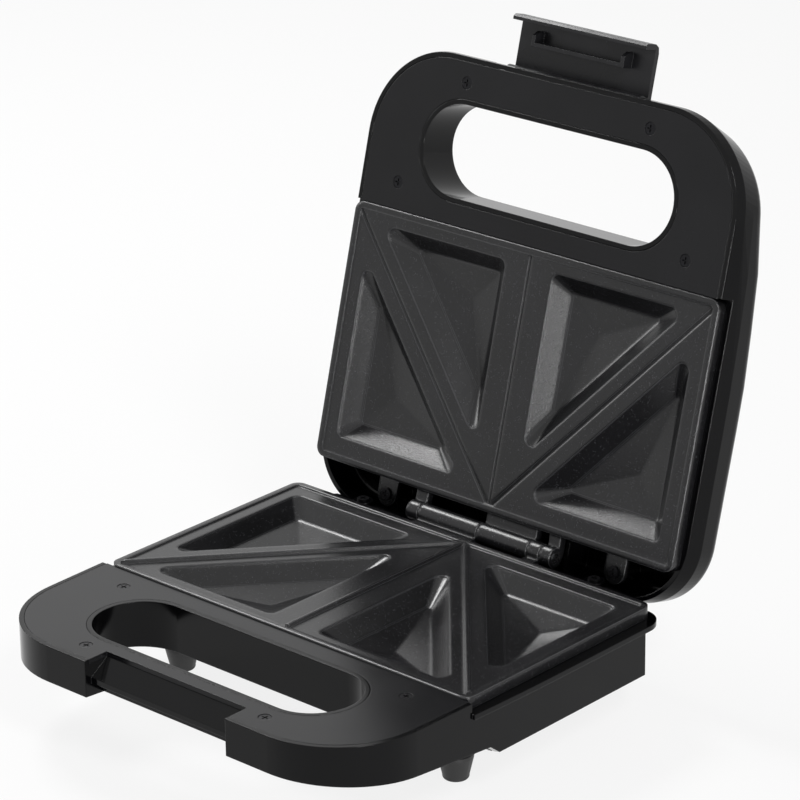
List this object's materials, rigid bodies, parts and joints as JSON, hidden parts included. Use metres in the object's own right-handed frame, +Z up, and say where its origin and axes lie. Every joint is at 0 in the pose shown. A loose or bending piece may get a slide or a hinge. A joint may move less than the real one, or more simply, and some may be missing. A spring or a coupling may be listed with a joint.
{
  "type": "sandwich toaster",
  "caption": "Countertop sandwich toaster with triangular pocket plates, looped handles on base and lid, a rear hinge and a swinging latch on the lid.",
  "frame": {"origin": "on the table, under the middle of the open toaster's overall box; the middle of the cooking plates is 4.9 mm nearer the handles", "axes": "+X to the user's right, +Y from the handles towards the hinge, +Z up; lid open at its stop and latch swung open in the rest pose"},
  "size_m": [0.237, 0.3008, 0.2891],
  "materials": {
    "gloss_black_shell": "moulded gloss black, polished tool finish",
    "black_cover": "moulded black, slightly softer gloss than the shells",
    "gloss_black_latch": "moulded gloss black",
    "nonstick_aluminium": "die cast, dark grey speckled non-stick coating",
    "element_sheath": "dull oxidised steel sheath",
    "zinc_steel": "zinc plated",
    "bright_aluminium": "bright rolled sheet",
    "black_screw_steel": "black oxide",
    "black_rubber": "satin moulded rubber",
    "cream_insulator": "unglazed ceramic look",
    "pin_steel": "drawn steel wire",
    "red_lens": "clear tinted plastic",
    "green_lens": "clear tinted plastic",
    "neon_glass": "small glass envelope"
  },
  "bodies": {
    "base": {"base_shell": "gloss_black_shell", "base_handle_cover": "black_cover", "base_plate": "nonstick_aluminium", "base_heating_element": "element_sheath", "base_element_clamps": "zinc_steel", "base_clamp_screws": "zinc_steel", "base_heat_shield": "bright_aluminium", "base_plate_screws": "zinc_steel", "base_cover_screws": "black_screw_steel", "base_rear_screws": "black_screw_steel", "base_feet": "black_rubber", "terminal_block": "cream_insulator", "cord_bushing": "black_rubber", "hinge_pin": "pin_steel"},
    "lid": {"lid_shell": "gloss_black_shell", "lid_handle_cover": "black_cover", "lid_plate": "nonstick_aluminium", "lid_heating_element": "element_sheath", "lid_element_clamps": "zinc_steel", "lid_clamp_screws": "zinc_steel", "lid_heat_shield": "bright_aluminium", "lid_plate_screws": "zinc_steel", "lid_cover_screws": "black_screw_steel", "lid_rear_screws": "black_screw_steel", "thermostat": "cream_insulator", "power_lens": "red_lens", "ready_lens": "green_lens", "neon_lamps": "neon_glass", "latch_pin": "pin_steel"},
    "latch": {"latch": "gloss_black_latch"}
  },
  "joints": [
    {"name": "lid_hinge", "type": "hinge", "parent": "base", "child": "lid", "pos_m": [0, 0.07012, 0.05495], "axis": [1, 0, 0], "range_deg": [0, 105]},
    {"name": "latch_hinge", "type": "hinge", "parent": "lid", "child": "latch", "pos_m": [0, 0.13768, 0.26171], "axis": [1, 0, 0], "range_deg": [0, 90]}
  ]
}
